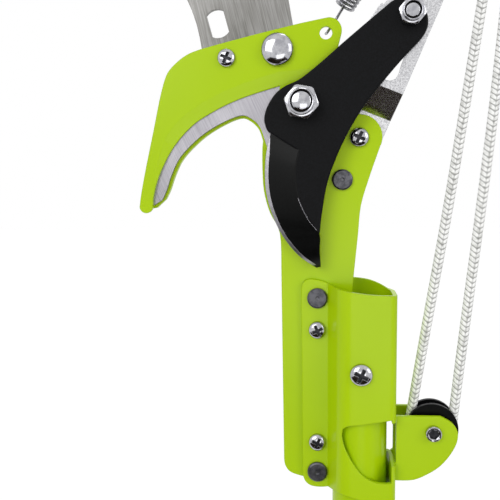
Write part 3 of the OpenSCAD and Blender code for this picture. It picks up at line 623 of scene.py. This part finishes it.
bolt("pivot_hex_bolt", "pivot_bolt", "frame", pivot_at, seat=1.5, way=1, head_h=5.27, end=-19.7, d=pivot_d,
     flats=13.6)
bolt("lever_round_bolt", "lever_bolt", "blade", lever_pin_at, seat=-2.4, way=1, head_h=3, end=-17.2,
     d=lever_pin_d, head_d=9.75)
bolt("arm_pulley_bolt", "arm_axle", "arm", upper_axle, seat=-5.7, way=-1, head_h=3.25, end=18.3, d=5, flats=8)

# Lock nuts: plated hexagons with turned corners and a thin collar crimped over a black nylon ring.
# They stop the blade, the arm and the pulleys from working loose, so each moving piece keeps a little play.


def nut(name, node, body, places, seat, way, d):
    flats = 1.6 * d
    top = seat + way * 0.85 * d
    collar_h = 0.3 * d
    # Heights as a share of the collar's and radii as a share of the thread's diameter, up the collar, over
    # its crimped lip and down on the nylon.
    collar = ((0, 0.675), (0.5, 0.675), (0.85, 0.655), (1, 0.61), (0.95, 0.57), (0.6, 0.555), (0.6, 0.5))
    bm = bmesh.new()
    for at in places:
        rows = [ring(at, seat, d / 2), ring(at, seat, turned * flats), ring(at, seat, 0, flats, way),
                ring(at, top, 0, flats, -way), ring(at, top, turned * flats)]
        rows += [ring(at, top + way * collar_h * height, d * radius) for height, radius in collar]
        bands = skin(bm, rows, "joined")
        for face in bands[-3] + bands[-2]:
            face.material_index = 1
    fix(made(name, bm, bright_zinc, nylon), body, "plated_steel", node)


nut("pivot_lock_nut", "pivot_nut", "frame", [pivot_at], seat=-10.3, way=-1, d=pivot_d)
nut("lever_lock_nut", "lever_nut", "blade", [lever_pin_at], seat=-10, way=-1, d=lever_pin_d)
nut("saw_bolt_lock_nut", "saw_bolt_nut", "frame", [saw_bolt_at], seat=1.5, way=1, d=6)
nut("saw_screw_lock_nut", "saw_screw_nut", "frame", [saw_screw_at], seat=1.5, way=1, d=4)
nut("bracket_lock_nuts", "bracket_screw_nuts", "frame", bracket_screws_at, seat=3.5, way=1, d=4)
nut("pole_lock_nut", "pole_screw_nut", "frame", [pole_screw_at], seat=14.8, way=1, d=5)
nut("arm_lock_nut", "arm_screw_nut", "frame", [arm_screw_at], seat=5.1, way=1, d=4)
nut("pulley_lock_nut", "pulley_nut", "frame", [lower_axle], seat=9, way=1, d=5)
nut("arm_axle_lock_nut", "arm_axle_nut", "arm", [upper_axle], seat=11.3, way=1, d=5)

# Return spring: 1.3 mm spring wire wound into twenty open curls, with a long lead hooked into the arm and a
# short one into the cover's ear. It pulls the arm back up, and stretches as the arm comes down.
wire = zinc_plate("spring_wire", "#A9A9AD", "#6E6E73", size=1.5 * mm, rough=0.22)
wire_d = 1.3 * mm
curls = 20
curl_pitch = 1.75
curl_points = 20
curl_r = 4.05
coil_start = 14
coil_end = coil_start + curl_pitch * curls
ear_hook = Vector((-16, -2, 207.7))
arm_hook = Vector((47.4, -2, 298.9))
pull = (arm_hook - ear_hook).normalized()
aside = pull.cross(Vector((0, 1, 0)))
to_front = Vector((0, -1, 0))


def tube(name, line, diameter, sides):
    # A round tube along a line. The curve gives its mesh a UV map, along and around.
    data = bpy.data.curves.new(name, "CURVE")
    data.dimensions = "3D"
    data.bevel_depth = diameter / 2
    data.bevel_resolution = sides // 4 - 1
    data.use_fill_caps = True
    spline = data.splines.new("POLY")
    spline.points.add(len(line) - 1)
    for point, place in zip(spline.points, line):
        point.co = (*place, 1)
    shape = bpy.data.objects.new(name, data)
    scene.collection.objects.link(shape)
    mesh = bpy.data.meshes.new_from_object(shape.evaluated_get(bpy.context.evaluated_depsgraph_get()))
    bpy.data.objects.remove(shape)
    mesh.name = name
    mesh.shade_smooth()
    piece = bpy.data.objects.new(name, mesh)
    scene.collection.objects.link(piece)
    return piece


wire_line = [ear_hook + 1.8 * to_front, ear_hook + 0.4 * to_front + 0.3 * pull, ear_hook + 1.8 * pull,
             ear_hook + 8.4 * pull, ear_hook + 12.6 * pull + 2.4 * to_front]
for i in range(curls * curl_points + 1):
    a = 2 * math.pi * i / curl_points
    middle = ear_hook + (coil_start + curl_pitch * i / curl_points) * pull
    wire_line.append(middle + curl_r * (math.sin(a) * aside + math.cos(a) * to_front))
wire_line += [ear_hook + (coil_end + 1.4) * pull + 2.4 * to_front, ear_hook + (coil_end + 6) * pull,
              arm_hook - 1.8 * pull, arm_hook + 0.4 * to_front - 0.3 * pull, arm_hook + 1.8 * to_front]
spring = tube("wound_return_spring", [head(*place) for place in wire_line], wire_d, 8)
spring.data.materials.append(wire)
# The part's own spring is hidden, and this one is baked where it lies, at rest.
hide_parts("return_spring")
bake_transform(spring)

# Rope: a 4.5 mm braided polyester line with grey flecks, tied to the arm, run down round the lower pulley, up
# over the arm's pulley and down to the pull handle. Each stretch is a tube that goes with its own body.
rope_d = 4.5 * mm
rope_step = 1.2 * mm
wrap_r = 10
upper_y = 4.3
crown_end = 96
fall_x = upper_axle[0] + wrap_r
fall_foot = -370


def run(line):
    return sum((b - a).length for a, b in zip(line, line[1:]))


def even(line, step):
    # The same line with its points a like step apart, so that the braid runs evenly along it.
    count = max(2, round(run(line) / step))
    gap = run(line) / count
    spaced = [line[0]]
    walked = 0
    for a, b in zip(line, line[1:]):
        length = (b - a).length
        while len(spaced) < count and walked + length >= gap * len(spaced):
            spaced.append(a.lerp(b, (gap * len(spaced) - walked) / length))
        walked += length
    return spaced + [line[-1]]


def wrap(axle, y, first, last):
    # The rope's middle line on a pulley, from one angle to another in steps of 6 degrees.
    step = 6 if last > first else -6
    angles = [math.radians(degrees) for degrees in range(first, last + step, step)]
    return [head(axle[0] + wrap_r * math.cos(a), y, axle[1] + wrap_r * math.sin(a)) for a in angles]


def braid(name, length):
    # Plaited polyester: four columns of slanting stitches, white on their crowns, with grey V-shaped grooves
    # where two columns lean against each other, that grey being painted shade, and faint grey flecks.
    stitch = 2.28 * mm
    column_pairs = 2.0
    facing = 0.22
    lean = -1.6
    column_crowns = 1.85
    column_depth = 0.74
    fleck_size = 2.381 * mm
    material, tree, shader = new_material(name, {"Roughness": 0.8, "Sheen Weight": 0.2})
    uv = add(tree, "UVMap")
    part = add(tree, "SeparateXYZ", None, i0=uv.outputs[0])
    along = add(tree, "Math", {"operation": "MULTIPLY", "1": length / stitch}, i0=part.outputs[0])
    around = add(tree, "Math", {"operation": "MULTIPLY_ADD", "1": column_pairs, "2": facing},
                 i0=part.outputs[1])
    across = add(tree, "Math", {"operation": "PINGPONG", "1": 0.5}, i0=around.outputs[0])
    slant = add(tree, "Math", {"operation": "MULTIPLY_ADD", "1": lean}, i0=across.outputs[0],
                i2=along.outputs[0])
    crowns = []
    for count, source in ((1, slant), (column_crowns, across)):
        turn = add(tree, "Math", {"operation": "MULTIPLY", "1": count * math.pi}, i0=source.outputs[0])
        wave = add(tree, "Math", {"operation": "SINE"}, i0=turn.outputs[0])
        crowns.append(add(tree, "Math", {"operation": "ABSOLUTE"}, i0=wave.outputs[0]))
    bulge = add(tree, "Math", {"operation": "MULTIPLY_ADD", "1": column_depth, "2": 1 - column_depth},
                i0=crowns[1].outputs[0])
    crown = add(tree, "Math", {"operation": "MULTIPLY"}, i0=crowns[0].outputs[0], i1=bulge.outputs[0])
    # Painted shade: the grooves between stitches and columns are coloured grey, the crowns white.
    tone = add(tree, "ValToRGB", {"stops": ((0, "#92928F"), (0.5, "#FCFCFA"))}, Fac=crown.outputs[0])
    place = add(tree, "TexCoord")
    fleck = add(tree, "TexNoise", {"Scale": 1 / fleck_size, "Detail": 1.0}, Vector=place.outputs["Object"])
    grey = add(tree, "ValToRGB", {"stops": ((0.34, "#DADAD8"), (0.46, "#FFFFFF"))}, Fac=fleck.outputs[0])
    both = add(tree, "Mix", {"data_type": "RGBA", "blend_type": "MULTIPLY", "0": 0.8}, i6=tone.outputs[0],
               i7=grey.outputs[0])
    tree.links.new(both.outputs[2], shader.inputs["Base Color"])
    relief = add(tree, "Bump", {"Strength": 0.6, "Distance": 0.35 * mm}, Height=crown.outputs[0])
    tree.links.new(relief.outputs[0], shader.inputs["Normal"])
    return material


def stretch(name, line, diameter, sides, body, node):
    piece = tube(name, line, diameter, sides)
    piece.data.materials.append(braid(name + "_braid", run(line)))
    fix(piece, body, "rope", node)
    return piece


def rope(name, line, body, node):
    line = even(line, rope_step)
    piece = stretch(name, line, rope_d, 16, body, node)
    return piece


def knot(name, at, facing, body, node):
    # An overhand knot drawn tight, so that its own line is thinner than the rope.
    size = 1.3 * mm
    tight_d = 3.4 * mm
    points = 60
    loop = []
    for i in range(points + 1):
        t = 2 * math.pi * i / points
        bend = Vector((math.sin(t) + 2 * math.sin(2 * t), math.cos(t) - 2 * math.cos(2 * t),
                       -math.sin(3 * t)))
        loop.append(at + facing @ (bend * size))
    return stretch(name, loop, tight_d, 12, body, node)


left_line = through([head(*place) for place in (
    (24, 0, 34.3), (30.9, 0.5, 78), (38.8, 1, 127), (46, 1.5, 176), (53, 2, 225), (59.5, 2.5, 274),
    (63.3, 3, 304), (65, 2.6, 312), (65.8, 1, 319), (66, -1.6, 322), (66, -4.2, 322.2))], 6)
right_line = through([head(*place) for place in (
    (43.4, 0, 34.3), (48.1, 0.7, 78), (53.7, 1.4, 128), (59, 2.1, 179), (63.5, 2.9, 230), (67.6, 3.6, 280),
    (71.4, 4.3, 327.2))], 6)
turn_line = [left_line[0]] + wrap(lower_axle, 0, 172, 364) + [right_line[0]]
crown_line = [right_line[-1]] + wrap(upper_axle, upper_y, 174, crown_end)
fall_line = wrap(upper_axle, upper_y, crown_end, 0) + [head(fall_x, upper_y, fall_foot)]

knot_at_arm = knot("rope_knot_at_arm", head(66, -9, 322), Matrix.Rotation(math.radians(90), 3, "X"), "arm",
                   "rope_knot")
knot_at_handle = knot("rope_knot_at_handle", head(fall_x, upper_y, fall_foot - 2.8), Matrix.Identity(3),
                      "pull_line", "handle_knot")
crown = stretch("rope_upper_turn", even(crown_line, rope_step), rope_d, 16, "arm", "rope_crown")
left_strand = rope("rope_left_strand", left_line, "strands", "rope_left")
right_strand = rope("rope_right_strand", right_line, "strands", "rope_right")
rope("rope_lower_turn", turn_line, "frame", "rope_loop")
rope("rope_hanging_fall", fall_line, "pull_line", "rope_fall")


def shorten(strand):
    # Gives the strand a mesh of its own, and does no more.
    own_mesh(strand)


shorten(left_strand)
shorten(right_strand)
